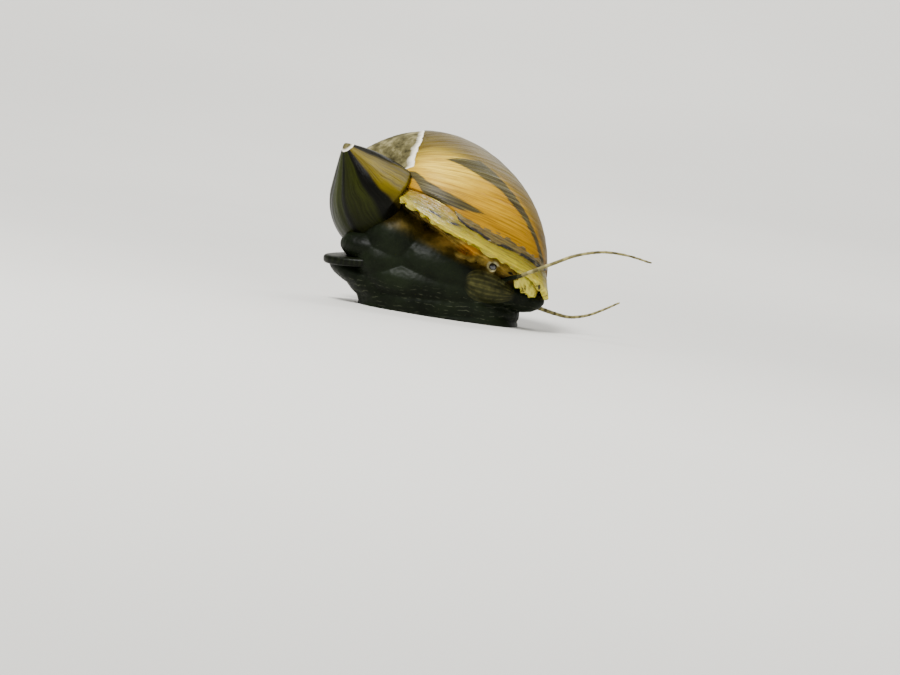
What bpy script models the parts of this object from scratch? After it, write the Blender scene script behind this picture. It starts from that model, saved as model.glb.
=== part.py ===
"""Nerite snail, life size, crawling, as a still museum model.

The row frame is in metres with +Z up. The animal faces +X and its right side is towards -Y.
The origin is the centre of the sole, on the floor. The shell is a real spiral: an oval ring that
turns about the shell's axis and shrinks towards the apex. The flesh is one fused body that is
parted into named pieces, each with a 0.3 mm gap to the next.
"""

import math

import bmesh
import bpy
from mathutils import Euler, Matrix, Vector

MM = 0.001
GAP = 0.3 * MM
CUT_ROOM = 60 * MM

# Shell growth: the oval ring at the lip, in the half plane that holds the shell's axis
WHORL_GROWTH = 3.54
RING_RADIUS = 5.74 * MM
RING_DEPTH = 13.74 * MM
RING_HALF_WIDTH = 6.24 * MM
RING_HALF_LENGTH = 8.98 * MM
RING_TILT = math.radians(-30)
LIP_LEAN = -0.157
RING_SIDES = 48
RING_STEP = math.radians(9)

# Crown: the last whorl swells a little where it passes over the back
CROWN_HEIGHT = 0.5 * MM
CROWN_ANGLE, CROWN_SPREAD = math.radians(-85), math.radians(45)
CROWN_AROUND = math.radians(-15)

# Shell place: apex point, then the heading and dip of the axis from apex to base
APEX = Vector((-11.15, -2.75, 14.85)) * MM
AXIS_HEADING = math.radians(32.7)
AXIS_DIP = math.radians(37.2)
LIP_SPIN = math.radians(-90)

# Shell pieces, in degrees of growth before the lip's edge
WHORL_START = -232
SPIRE_END = -196
LIP_START = -11
CONE_END = -212
CONE_SWELL = 1.1
SUTURE = [(-4.35, -4.8, 13.03), (-4.5, -5.35, 12.05), (-5.0, -5.65, 11.0), (-5.9, -5.3, 9.6)]
RIDGE_FALL, RIDGE_BEND, RIDGE_ROUND = 0.03, 0.035, 0.07
LIP_WALL = 0.95 * MM
LIP_FLARE = 0.35 * MM
DECK_EDGE = -1.3 * MM
DECK_WALL_DEG = (-12.5, -3)
APEX_DEPTH = 1.6 * MM
SHELL_VOXEL = 0.42 * MM
LIP_VOXEL = 0.22 * MM
ROOM_VOXEL = 0.25 * MM

# Flesh: sole, foot, column, neck, head
SOLE_LENGTH = 15.5 * MM
SOLE_WIDTH = 10.4 * MM
SOLE_EDGE = 0.75 * MM
SOLE_FLAT = 0.12 * MM
FLESH_VOXEL = 0.38 * MM
FLESH_SMOOTHING = 6

# Tentacles: root, then the points they pass through, to the tip
TENTACLE_ROOT_RADIUS = 0.36 * MM
TENTACLE_TIP_RADIUS = 0.17 * MM
TENTACLE_LENGTHS = ("root", "middle", "tip")
TENTACLES = {
    "right": [(5.3, -3.6, 4.1), (6.1, -5.6, 4.55), (7.0, -7.0, 4.85), (7.9, -7.8, 5.3),
              (9.9, -8.2, 6.45), (11.9, -8.1, 7.65), (14.3, -7.6, 8.4), (16.6, -6.8, 8.5),
              (19.0, -5.8, 8.1)],
    "left": [(8.2, 0.3, 2.3), (9.7, 1.2, 1.95), (11.1, 2.0, 1.65), (12.6, 2.8, 1.5),
             (14.3, 3.7, 1.9), (15.7, 4.4, 2.6), (17.2, 5.0, 3.5)],
}

# Eye stalks and eyes
EYES = {
    "right": ((3.9, -3.6, 4.55), (4.35, -5.7, 5.15)),
    "left": ((6.4, 0.4, 2.2), (7.1, 1.8, 2.0)),
}
STALK_RADIUS = 0.62 * MM
EYE_RADIUS = 0.48 * MM

# Operculum: the lid that rides on the back of the foot
LID_CENTRE = Vector((-6.9, -0.6, 3.9)) * MM
LID_HALF_LENGTH = 4.6 * MM
LID_HALF_WIDTH = 3.3 * MM
LID_THICKNESS = 0.8 * MM
LID_TURN = Euler((math.radians(4), math.radians(-7), math.radians(8)))

COLOURS = {
    "shell_horn": ((0.46, 0.26, 0.07, 1), 0.3),
    "shell_dark": ((0.05, 0.05, 0.03, 1), 0.3),
    "shell_growth": ((0.45, 0.36, 0.06, 1), 0.35),
    "shell_white": ((0.8, 0.76, 0.62, 1), 0.6),
    "deck_enamel": ((0.55, 0.47, 0.3, 1), 0.25),
    "flesh_black": ((0.012, 0.013, 0.01, 1), 0.3),
    "flesh_brown": ((0.12, 0.06, 0.02, 1), 0.3),
    "tentacle_skin": ((0.2, 0.17, 0.08, 1), 0.4),
    "eye_black": ((0.005, 0.005, 0.006, 1), 0.1),
    "lid_horn": ((0.06, 0.05, 0.03, 1), 0.35),
}


def clear_scene():
    for old in list(bpy.data.objects):
        bpy.data.objects.remove(old, do_unlink=True)


def make_material(name):
    colour, roughness = COLOURS[name]
    made = bpy.data.materials.new(name)
    made.use_nodes = True
    shader = made.node_tree.nodes["Principled BSDF"]
    shader.inputs["Base Color"].default_value = colour
    shader.inputs["Roughness"].default_value = roughness
    shader.inputs["Metallic"].default_value = 0.0
    return made


def collection(name):
    made = bpy.data.collections.new(name)
    bpy.context.scene.collection.children.link(made)
    return made


def add_object(name, mesh, home, matrix=None):
    made = bpy.data.objects.new(name, mesh)
    home.objects.link(made)
    if matrix is not None:
        made.matrix_world = matrix
    return made


def face_out(shape):
    bmesh.ops.recalc_face_normals(shape, faces=shape.faces)
    if shape.calc_volume(signed=True) < 0:
        bmesh.ops.reverse_faces(shape, faces=shape.faces)


def object_from_bmesh(name, shape, home, matrix=None):
    face_out(shape)
    mesh = bpy.data.meshes.new(name)
    shape.to_mesh(mesh)
    shape.free()
    return add_object(name, mesh, home, matrix)


def bake(target):
    """Applies the modifiers and the object's place, so that its mesh is in world metres."""
    bpy.context.view_layer.update()
    graph = bpy.context.evaluated_depsgraph_get()
    mesh = bpy.data.meshes.new_from_object(target.evaluated_get(graph), depsgraph=graph)
    mesh.transform(target.matrix_world)
    target.modifiers.clear()
    target.data = mesh
    target.matrix_world = Matrix.Identity(4)
    return target


def voxel_fuse(target, voxel, smoothing=0):
    remesh = target.modifiers.new("fuse", "REMESH")
    remesh.mode = "VOXEL"
    remesh.voxel_size = voxel
    if smoothing:
        smooth = target.modifiers.new("smooth", "SMOOTH")
        smooth.factor = 0.5
        smooth.iterations = smoothing
    return bake(target)


def closed_volume(mesh):
    """The volume inside a mesh, or zero where it is open."""
    shape = bmesh.new()
    shape.from_mesh(mesh)
    closed = bool(shape.faces) and all(edge.is_manifold for edge in shape.edges)
    volume = shape.calc_volume() if closed else 0.0
    shape.free()
    return volume


def boolean(target, other, operation="DIFFERENCE"):
    """Cuts with the exact solver, and with the manifold one where that fails."""
    before = target.data
    most = closed_volume(before) * 1.0001
    for solver in ("EXACT", "MANIFOLD"):
        target.data = before
        cut = target.modifiers.new(operation.lower(), "BOOLEAN")
        cut.operation = operation
        cut.object = other
        cut.solver = solver
        bake(target)
        if 0.0 < closed_volume(target.data) <= most:
            return target
    raise RuntimeError(f"{other.name} doesn't cut {target.name}")


def keep_largest(target):
    """Leaves only the largest closed surface and welds what a cut left doubled."""
    shape = bmesh.new()
    shape.from_mesh(target.data)
    if not all(edge.is_manifold for edge in shape.edges):
        bmesh.ops.remove_doubles(shape, verts=shape.verts, dist=0.001 * MM)
    left = set(shape.faces)
    shells = []
    while left:
        waiting = [left.pop()]
        found = set(waiting)
        while waiting:
            for edge in waiting.pop().edges:
                fresh = [face for face in edge.link_faces if face in left]
                left.difference_update(fresh)
                found.update(fresh)
                waiting.extend(fresh)
        shells.append(found)
    largest = max(shells, key=lambda faces: sum(face.calc_area() for face in faces))
    spare = [face for face in shape.faces if face not in largest]
    bmesh.ops.delete(shape, geom=spare, context="FACES")
    loose = [vert for vert in shape.verts if not vert.link_faces]
    bmesh.ops.delete(shape, geom=loose, context="VERTS")
    face_out(shape)
    shape.to_mesh(target.data)
    shape.free()
    return target


def thin(target, triangles):
    """Lowers a closed mesh to about that many triangles, or to a few more if it opens."""
    before = target.data
    before.calc_loop_triangles()
    have = len(before.loop_triangles)
    for more in range(12):
        target.data = before
        if have <= triangles:
            break
        fewer = target.modifiers.new("thin", "DECIMATE")
        fewer.ratio = triangles * (1 + 0.03 * more) / have
        fewer.use_collapse_triangulate = True
        bake(target)
        if closed_volume(target.data) > 0.0:
            break
    return target


def grown(source, home, amount=GAP):
    """A cutter: the same shape with its surface moved out by the gap."""
    copy = add_object(source.name + "_room", source.data.copy(), home)
    push = copy.modifiers.new("grow", "DISPLACE")
    push.strength = amount
    push.mid_level = 0.0
    voxel_fuse(copy, ROOM_VOXEL)
    hide_cutter(copy)
    return copy


def hide_cutter(cutter):
    cutter.hide_render = True
    cutter.display_type = "WIRE"


def shell_matrix(swell=1.0):
    """Sets the shell on the body; swell enlarges a piece about the apex."""
    heading = Matrix.Rotation(AXIS_HEADING, 4, "Z")
    dip = Matrix.Rotation(math.radians(90) + AXIS_DIP, 4, "Y")
    spin = Matrix.Rotation(LIP_SPIN, 4, "Z")
    return Matrix.Translation(APEX) @ heading @ dip @ spin @ Matrix.Scale(swell, 4)


def growth_scale(angle):
    return WHORL_GROWTH ** (angle / math.tau)


def ring_point(angle, around, grow=0.0):
    """A point of the shell's oval ring at a growth angle, in the shell's own frame."""
    scale = growth_scale(angle)
    grow += CROWN_HEIGHT * math.exp(-((angle - CROWN_ANGLE) / CROWN_SPREAD) ** 2) * max(
        0.0, math.cos(around - CROWN_AROUND)) ** 2
    across = (RING_HALF_WIDTH + grow / scale) * math.cos(around)
    along = (RING_HALF_LENGTH + grow / scale) * math.sin(around)
    radius = RING_RADIUS + across * math.cos(RING_TILT) - along * math.sin(RING_TILT)
    depth = RING_DEPTH + across * math.sin(RING_TILT) + along * math.cos(RING_TILT)
    turn = angle + LIP_LEAN * (depth - RING_DEPTH) / RING_HALF_WIDTH
    return Vector((radius * math.cos(turn), radius * math.sin(turn), depth)) * scale


def ring_angles(start, end):
    count = max(2, round((math.radians(end) - math.radians(start)) / RING_STEP) + 1)
    return [math.radians(start + (end - start) * k / (count - 1)) for k in range(count)]


def grow_tube(name, start, end, home, grow=0.0):
    """Extrudes the ring along its spiral between two growth angles in degrees, and caps it."""
    shape = bmesh.new()
    ring = bmesh.ops.create_circle(shape, radius=1, segments=RING_SIDES)["verts"]
    around = [math.tau * k / RING_SIDES for k in range(RING_SIDES)]
    angles = ring_angles(start, end)
    for vert, place in zip(ring, around):
        vert.co = ring_point(angles[0], place, grow)
    edges = [edge for edge in shape.edges]
    bmesh.ops.contextual_create(shape, geom=edges)
    for angle in angles[1:]:
        made = bmesh.ops.extrude_edge_only(shape, edges=edges)["geom"]
        ring = [item for item in made if isinstance(item, bmesh.types.BMVert)]
        edges = [item for item in made if isinstance(item, bmesh.types.BMEdge)]
        for vert, place in zip(ring, around):
            vert.co = ring_point(angle, place, grow)
    bmesh.ops.contextual_create(shape, geom=edges)
    return object_from_bmesh(name, shape, home, shell_matrix())


def join(name, pieces, home):
    """One mesh object from several closed ones, in world metres."""
    shape = bmesh.new()
    for piece in pieces:
        bake(piece)
        shape.from_mesh(piece.data)
        bpy.data.objects.remove(piece)
    mesh = bpy.data.meshes.new(name)
    shape.to_mesh(mesh)
    shape.free()
    return add_object(name, mesh, home)


def under_ridge(point):
    """Lowers a point of the cone, in metres, to the round ridge that falls from the apex."""
    along, aside = (point.x - APEX.x) / MM, (point.y - APEX.y) / MM
    along = max(0.0, along)
    top = APEX.z / MM - RIDGE_FALL * along - RIDGE_BEND * along ** 2 - RIDGE_ROUND * aside ** 2
    return Vector((point.x, point.y, min(point.z, top * MM)))


def early_cone(home):
    """The smooth, worn cone over the first whorls: the hull of their rings and the suture."""
    shape = bmesh.new()
    place = shell_matrix(CONE_SWELL)
    for angle in ring_angles(CONE_END - 700, CONE_END):
        for k in range(0, RING_SIDES, 2):
            shape.verts.new(under_ridge(place @ ring_point(angle, math.tau * k / RING_SIDES)))
    for point in SUTURE:
        shape.verts.new(Vector(point) * MM)
    hull = bmesh.ops.convex_hull(shape, input=shape.verts)
    inside = [v for v in hull["geom_interior"] if isinstance(v, bmesh.types.BMVert)]
    bmesh.ops.delete(shape, geom=inside, context="VERTS")
    return object_from_bmesh("cone", shape, home)


def block(name, low, high, home, matrix=None):
    """A box cutter between two corners, in millimetres, in the frame of the matrix."""
    shape = bmesh.new()
    bmesh.ops.create_cube(shape, size=1)
    low, high = Vector(low) * MM, Vector(high) * MM
    size = high - low
    bmesh.ops.scale(shape, vec=size, verts=shape.verts)
    bmesh.ops.translate(shape, vec=(low + high) / 2, verts=shape.verts)
    made = object_from_bmesh(name, shape, home, matrix)
    bake(made)
    hide_cutter(made)
    return made


def sliced(target, point, normal, side, gap=GAP):
    """Keeps what lies on one side of a plane, half a gap away from it, and closes the cut."""
    away = Vector(normal).normalized() * side
    shape = bmesh.new()
    shape.from_mesh(target.data)
    found = bmesh.ops.bisect_plane(shape, geom=shape.verts[:] + shape.edges[:] + shape.faces[:],
                                   dist=0.0005 * MM, plane_co=Vector(point) + away * gap / 2,
                                   plane_no=away, clear_inner=True)
    rim = [item for item in found["geom_cut"] if isinstance(item, bmesh.types.BMEdge)]
    rim = [edge for edge in rim if edge.is_boundary]
    if rim:
        bmesh.ops.triangle_fill(shape, use_beauty=True, use_dissolve=False, edges=rim)
    face_out(shape)
    shape.to_mesh(target.data)
    shape.free()
    return target


def part_of(source, name, home, cuts):
    """A named copy of a solid, kept only on the wanted side of each plane."""
    made = add_object(name, source.data.copy(), home)
    for (point, normal), side in cuts:
        sliced(made, Vector(point) * MM, normal, side)
    keep_largest(made)
    return voxel_fuse(made, ROOM_VOXEL)


def finish(target, material, smooth=True):
    keep_largest(target)
    target.data.materials.clear()
    target.data.materials.append(material)
    target.data.shade_smooth() if smooth else target.data.shade_flat()
    return target


def ellipsoid(name, centre, half, home, turn=(0, 0, 0)):
    shape = bmesh.new()
    bmesh.ops.create_uvsphere(shape, u_segments=32, v_segments=20, radius=1)
    bmesh.ops.scale(shape, vec=Vector(half) * MM, verts=shape.verts)
    place = Matrix.Translation(Vector(centre) * MM)
    turned = Euler([math.radians(a) for a in turn]).to_matrix().to_4x4()
    return object_from_bmesh(name, shape, home, place @ turned)


def sole_slab(home):
    """The sole: a long rounded slab with a thin rim, wider in front than behind."""
    shape = bmesh.new()
    rim = bmesh.ops.create_circle(shape, cap_ends=True, radius=1, segments=64)["verts"]
    for vert in rim:
        along, across = vert.co.x, vert.co.y
        wide = 1.0 + 0.1 * along
        vert.co.x = math.copysign(abs(along) ** 0.9, along) * SOLE_LENGTH / 2
        vert.co.y = math.copysign(abs(across) ** 0.85, across) * SOLE_WIDTH / 2 * wide
    floor = shape.faces[:]
    raised = bmesh.ops.extrude_face_region(shape, geom=floor)["geom"]
    top = [item for item in raised if isinstance(item, bmesh.types.BMVert)]
    bmesh.ops.translate(shape, vec=(0, 0, SOLE_EDGE), verts=top)
    bmesh.ops.scale(shape, vec=(0.96, 0.94, 1), verts=top)
    return object_from_bmesh("sole_slab", shape, home)


def make_shell(parts, tools, paint):
    """The five shell pieces, cut from tubes that follow the same growth."""
    body = grow_tube("shell_body_whorl", WHORL_START, LIP_START, parts)
    voxel_fuse(body, SHELL_VOXEL, 2)
    body_room = grown(body, tools)

    early = [grow_tube("early_tube", CONE_END - 60, SPIRE_END, tools), early_cone(tools)]
    spire = join("spire_form", early, tools)
    voxel_fuse(spire, SHELL_VOXEL * 0.8, 2)
    boolean(spire, body_room)
    keep_largest(spire)
    axis = shell_matrix().to_3x3() @ Vector((0, 0, 1))
    tip_cut = (APEX / MM + axis * APEX_DEPTH / MM, axis)
    spire_room = grown(spire, tools)
    apex = part_of(spire, "shell_apex", parts, [(tip_cut, -1)])
    lower = part_of(spire, "shell_spire", parts, [(tip_cut, 1)])
    spire.hide_render = True

    lip = grow_tube("shell_outer_lip", LIP_START + 1.5, 0, parts, LIP_FLARE)
    voxel_fuse(lip, LIP_VOXEL)
    bore = grow_tube("lip_bore", LIP_START - 6, 6, tools, -LIP_WALL)
    voxel_fuse(bore, LIP_VOXEL, 2)
    boolean(lip, bore)
    boolean(lip, body_room)
    boolean(lip, spire_room)
    keep_largest(lip)
    voxel_fuse(lip, LIP_VOXEL)

    deck = grow_tube("shell_deck", DECK_WALL_DEG[0] + 1.5, DECK_WALL_DEG[1], parts, -LIP_WALL - GAP)
    voxel_fuse(deck, LIP_VOXEL)
    keep = block("deck_side", (-60, -60, -60), (DECK_EDGE / MM + RING_RADIUS / MM, 60, 60), tools,
                 shell_matrix())
    boolean(deck, keep, "INTERSECT")
    boolean(deck, body_room)
    boolean(deck, spire_room)
    keep_largest(deck)

    rooms = [grown(piece, tools) for piece in (body, spire, lip, deck)]
    for piece, budget, look in ((body, 2600, "shell_horn"), (lower, 1300, "shell_dark"),
                                (apex, 260, "shell_white"), (lip, 1100, "shell_growth"),
                                (deck, 200, "deck_enamel")):
        thin(piece, budget)
        finish(piece, paint[look])
    hide_cutter(bore)
    hide_cutter(spire)
    return rooms


def make_lid(parts, paint):
    """The operculum: a thick D-shaped plate, domed a little on its outer face."""
    shape = bmesh.new()
    rim = bmesh.ops.create_circle(shape, cap_ends=True, radius=1, segments=40)["verts"]
    for vert in rim:
        flat = 0.72 if vert.co.y > 0 else 1.0
        vert.co = Vector((vert.co.x * LID_HALF_LENGTH, vert.co.y * LID_HALF_WIDTH * flat, 0))
    raised = bmesh.ops.extrude_face_region(shape, geom=shape.faces[:])["geom"]
    top = [item for item in raised if isinstance(item, bmesh.types.BMVert)]
    bmesh.ops.translate(shape, vec=(0, 0, LID_THICKNESS), verts=top)
    turn = Matrix.Translation(LID_CENTRE) @ LID_TURN.to_matrix().to_4x4()
    lid = object_from_bmesh("operculum", shape, parts, turn)
    round_edge = lid.modifiers.new("round", "BEVEL")
    round_edge.width = 0.24 * MM
    round_edge.segments = 2
    round_edge.limit_method = "ANGLE"
    bake(lid)
    return finish(lid, paint["lid_horn"])


def flesh_forms(home):
    """The rounded masses that the body is built up from."""
    masses = [
        ("foot_mass", (-0.1, -0.2, 1.0), (7.8, 5.1, 2.8), (0, 0, 0)),
        ("heel_mass", (-5.9, -0.3, 1.9), (3.8, 3.5, 1.9), (0, 22, 0)),
        ("column_mass", (-0.2, -0.9, 4.5), (6.2, 4.6, 3.7), (0, 8, 0)),
        ("shoulder_mass", (-4.9, -1.4, 6.2), (3.3, 3.3, 3.6), (0, -14, 0)),
        ("throat_mass", (3.2, -1.5, 4.0), (4.6, 3.6, 2.4), (0, 12, 0)),
        ("cheek_mass", (4.6, -3.4, 3.25), (2.7, 1.6, 1.4), (0, 6, 8)),
        ("head_mass", (6.0, -1.4, 3.3), (3.4, 2.8, 1.7), (0, 14, 0)),
        ("snout_mass_right", (8.2, -2.2, 2.6), (1.6, 1.35, 0.95), (0, -10, -12)),
        ("snout_mass_left", (8.2, -0.4, 2.6), (1.6, 1.35, 0.95), (0, -10, 12)),
        ("lid_lobe", (-7.9, -0.5, 2.6), (3.2, 2.7, 1.15), (0, 20, 0)),
    ]
    made = [ellipsoid(name, centre, half, home, turn) for name, centre, half, turn in masses]
    made.append(sole_slab(home))
    plug = grow_tube("mantle_plug", LIP_START + 1.5, 2, home, -LIP_WALL - GAP)
    made.append(plug)
    return made


def mouth_plane():
    """The plane of the shell's mouth: its middle, and the direction into the shell."""
    place = shell_matrix()
    near, far = (place @ ring_point(0, angle) for angle in (math.pi / 2, -math.pi / 2))
    rim, inner = (place @ ring_point(0, angle) for angle in (0, math.pi))
    inward = (near - far).cross(inner - rim).normalized()
    return (near + far) / 2 / MM, (inward if inward.z > 0 else -inward)


def make_flesh(parts, tools, paint, rooms):
    """One fused body, cut clear of the hard pieces and then parted into named nodes."""
    body = join("flesh_form", flesh_forms(tools), tools)
    voxel_fuse(body, FLESH_VOXEL, FLESH_SMOOTHING)
    sliced(body, Vector((0, 0, 0)), (0, 0, 1), 1, 0)
    for room in rooms:
        boolean(body, room)
    keep_largest(body)
    hide_cutter(body)

    mouth = mouth_plane()
    sole_top = ((0, 0, 1.35), (0, 0, 1))
    foot_top = ((0, 0, 3.1), (0.05, 0, 1))
    chest = ((1.6, 0, 2), (1, 0, 0.2))
    heel = ((-3.4, 0, 2), (1, 0, 0))
    nape = ((4.6, 0, 3.1), (1, 0, 0.35))
    brow = ((7.7, 0, 3.0), (1, 0, 0.1))
    nodes = [
        ("foot_sole", [(sole_top, -1)], 900, "flesh_black"),
        ("foot_front", [(sole_top, 1), (foot_top, -1), (chest, 1), (nape, -1)], 300,
         "flesh_black"),
        ("foot_middle", [(sole_top, 1), (foot_top, -1), (chest, -1), (heel, 1)], 500,
         "flesh_black"),
        ("foot_tail", [(sole_top, 1), (heel, -1), (mouth, -1)], 500, "flesh_black"),
        ("body_column", [(foot_top, 1), (mouth, -1), (nape, -1), (heel, 1)], 900,
         "flesh_brown"),
        ("mantle", [(mouth, 1), (sole_top, 1)], 800, "flesh_brown"),
        ("head", [(sole_top, 1), (mouth, -1), (nape, 1), (brow, -1)], 700, "flesh_black"),
        ("snout", [(sole_top, 1), (mouth, -1), (brow, 1)], 400, "flesh_black"),
    ]
    for name, cuts, budget, look in nodes:
        node = part_of(body, name, parts, cuts)
        thin(node, budget)
        if name == "foot_sole":
            sliced(node, SOLE_FLAT * Vector((0, 0, 1)), (0, 0, 1), 1, 0)
            node.data.transform(Matrix.Translation((0, 0, -SOLE_FLAT)))
        finish(node, paint[look])
    return grown(body, tools)


def tube_along(name, points, radii, home):
    """A round cord through the points, with a round end."""
    curve = bpy.data.curves.new(name, "CURVE")
    curve.dimensions = "3D"
    curve.bevel_depth = 1.0
    curve.bevel_resolution = 2
    curve.use_fill_caps = True
    curve.resolution_u = 2
    line = curve.splines.new("POLY")
    line.points.add(len(points) - 1)
    for item, place, radius in zip(line.points, points, radii):
        item.co = (*place, 1)
        item.radius = radius
    made = add_object(name, curve, home)
    return solid_from_curve(made)


def solid_from_curve(source):
    bpy.context.view_layer.update()
    graph = bpy.context.evaluated_depsgraph_get()
    mesh = bpy.data.meshes.new_from_object(source.evaluated_get(graph), depsgraph=graph)
    home = source.users_collection[0]
    name = source.name
    bpy.data.objects.remove(source)
    mesh.name = name
    made = add_object(name, mesh, home)
    keep_largest(made)
    return made


def smooth_path(points, count):
    """Even points along a soft curve through the given ones."""
    ends = [points[0] * 2 - points[1]] + points + [points[-1] * 2 - points[-2]]
    fine = []
    for a, b, c, d in zip(ends, ends[1:], ends[2:], ends[3:]):
        for k in range(12):
            t = k / 12
            fine.append(0.5 * (2 * b + (c - a) * t + (2 * a - 5 * b + 4 * c - d) * t * t
                               + (3 * b - a - 3 * c + d) * t ** 3))
    fine.append(points[-1])
    far = [0.0]
    for a, b in zip(fine, fine[1:]):
        far.append(far[-1] + (b - a).length)
    path, at = [], 0
    for k in range(count):
        want = far[-1] * k / (count - 1)
        while far[at + 1] < want and at < len(far) - 2:
            at += 1
        share = (want - far[at]) / (far[at + 1] - far[at])
        path.append(fine[at].lerp(fine[at + 1], share))
    return path, far[-1]


def make_tentacles(parts, tools, paint, flesh_room):
    """Both tentacles, each in three lengths; gives the room that each root takes."""
    root_rooms = {}
    for side, points in TENTACLES.items():
        path, length = smooth_path([Vector(p) * MM for p in points], 34)
        for number, label in enumerate(TENTACLE_LENGTHS):
            first, last = number * 11, number * 11 + 11
            run = path[first:last + 1]
            trim = GAP / (length / 33)
            run[-1] = run[-1].lerp(run[-2], trim if number < 2 else 0)
            radii = []
            for k in range(first, last + 1):
                share = (k / 33) ** 0.9
                radii.append(TENTACLE_ROOT_RADIUS
                             + (TENTACLE_TIP_RADIUS - TENTACLE_ROOT_RADIUS) * share)
            if number == 2:
                radii[-1] *= 0.45
            cord = tube_along(f"tentacle_{side}_{label}", run, radii, parts)
            if number == 0:
                boolean(cord, flesh_room)
                root_rooms[side] = grown(cord, tools)
            finish(cord, paint["tentacle_skin"])
    return root_rooms


def make_eyes(parts, tools, paint, flesh_room, root_rooms):
    for side, (root, end) in EYES.items():
        root, end = Vector(root) * MM, Vector(end) * MM
        away = (end - root).normalized()
        path = [root.lerp(end, k / 5) for k in range(6)]
        radii = [STALK_RADIUS * (1.15 - 0.06 * k) for k in range(6)]
        stalk = tube_along(f"eye_stalk_{side}", path, radii, parts)
        boolean(stalk, flesh_room)
        boolean(stalk, root_rooms[side])
        finish(stalk, paint["flesh_black"])
        shape = bmesh.new()
        bmesh.ops.create_uvsphere(shape, u_segments=14, v_segments=10, radius=EYE_RADIUS)
        centre = end + away * (EYE_RADIUS * 0.55 + GAP)
        eye = object_from_bmesh(f"eye_{side}", shape, parts, Matrix.Translation(centre))
        bake(eye)
        boolean(eye, grown(stalk, tools, GAP * 0.9))
        finish(eye, paint["eye_black"])


def main():
    clear_scene()
    parts = collection("nerite_snail")
    tools = collection("cutters")
    paint = {name: make_material(name) for name in COLOURS}
    rooms = make_shell(parts, tools, paint)
    lid = make_lid(parts, paint)
    flesh_room = make_flesh(parts, tools, paint, rooms + [grown(lid, tools)])
    root_rooms = make_tentacles(parts, tools, paint, flesh_room)
    make_eyes(parts, tools, paint, flesh_room, root_rooms)


if __name__ == "__main__":
    main()
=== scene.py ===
"""Nerite snail: the museum model's fine surfaces, materials, light and camera.

The shell, the lid, the eyes and one continuous skin are built over the solid model's frame.
Positions are in millimetres in the code and in metres in the scene. +X is the head's side, -Y the
animal's right side, which the camera sees, and the sole lies on the floor at Z = 0. A place on the
shell is given by its growth, in degrees before the lip's edge, and by its place round the ring.
"""

import math

import bmesh
import bpy
import numpy as np
from bpy.props import FloatProperty, IntProperty, PointerProperty, StringProperty
from mathutils import Euler, Matrix, Vector, noise


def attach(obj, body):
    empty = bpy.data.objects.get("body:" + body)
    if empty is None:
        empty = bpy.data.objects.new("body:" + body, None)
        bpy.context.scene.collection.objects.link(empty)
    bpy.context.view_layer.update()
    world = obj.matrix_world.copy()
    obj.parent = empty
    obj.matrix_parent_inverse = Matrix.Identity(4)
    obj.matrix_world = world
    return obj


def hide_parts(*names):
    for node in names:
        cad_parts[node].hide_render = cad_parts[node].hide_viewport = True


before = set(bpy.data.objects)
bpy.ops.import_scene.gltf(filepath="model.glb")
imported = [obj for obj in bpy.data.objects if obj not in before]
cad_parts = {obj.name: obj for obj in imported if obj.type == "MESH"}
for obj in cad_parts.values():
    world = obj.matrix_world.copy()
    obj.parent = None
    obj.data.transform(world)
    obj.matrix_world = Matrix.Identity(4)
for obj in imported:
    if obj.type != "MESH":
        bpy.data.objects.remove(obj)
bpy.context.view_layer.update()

bl_info = {
    "name": "Nerite Snail Model",
    "version": (1, 0, 0),
    "blender": (4, 5, 0),
    "location": "View3D > Sidebar > Nerite Snail",
    "description": "Builds a life-size nerite snail with its shell, skin, lid and eyes",
    "category": "Add Mesh",
}

MM = 0.001

# Shell growth, as on the solid model: the oval ring at the lip, and how the ring turns and shrinks
WHORL_GROWTH = 3.54
RING_RADIUS, RING_DEPTH = 5.74, 13.74
RING_HALF_WIDTH, RING_HALF_LENGTH = 6.24, 8.98
RING_TILT = math.radians(-30)
LIP_LEAN = -0.157
CROWN_HEIGHT, CROWN_ANGLE, CROWN_SPREAD, CROWN_AROUND = 0.5, -85, 45, math.radians(-15)
APEX = Vector((-11.15, -2.75, 14.85))
AXIS_HEADING, AXIS_DIP, LIP_SPIN = math.radians(32.7), math.radians(37.2), math.radians(-90)
WHORL_START = -232
CONE_END, CONE_SWELL = -212, 1.1
SUTURE = ((-4.35, -4.8, 13.03), (-4.5, -5.35, 12.05), (-5.0, -5.65, 11.0), (-5.9, -5.3, 9.6))
RIDGE_FALL, RIDGE_BEND, RIDGE_ROUND = 0.03, 0.035, 0.07

# Lines on the shell, as (place round the ring, growth), both in degrees
LEDGE = ((-180, -9), (-60, -12.5), (-48, -12.5), (-34, -14.5), (-22, -13), (-12, -12.5), (-6, -9.5),
         (8, -8), (48, -8), (90, -7), (180, -9))
OLD_LAYER = ((-180, -16), (-20, -16), (-8, -7), (0, -6), (15, -4.8), (30, -6), (60, -6), (110, -16),
             (180, -16))
LIP_EDGE = ((-180, 0), (50, 0), (62, 1.5), (80, 2.4), (92, 1.5), (102, 0), (180, 0))
LIP_FLAKE = ((-180, 2), (44, 3), (50, 5.6), (58, 6.4), (68, 5.6), (84, 4.5), (96, 3), (180, 2))
WORN_EDGE = ((-230, 5), (-120, 0), (-96, -20), (-80, -33), (-64, -43), (-46, -50), (-30, -52))

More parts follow.
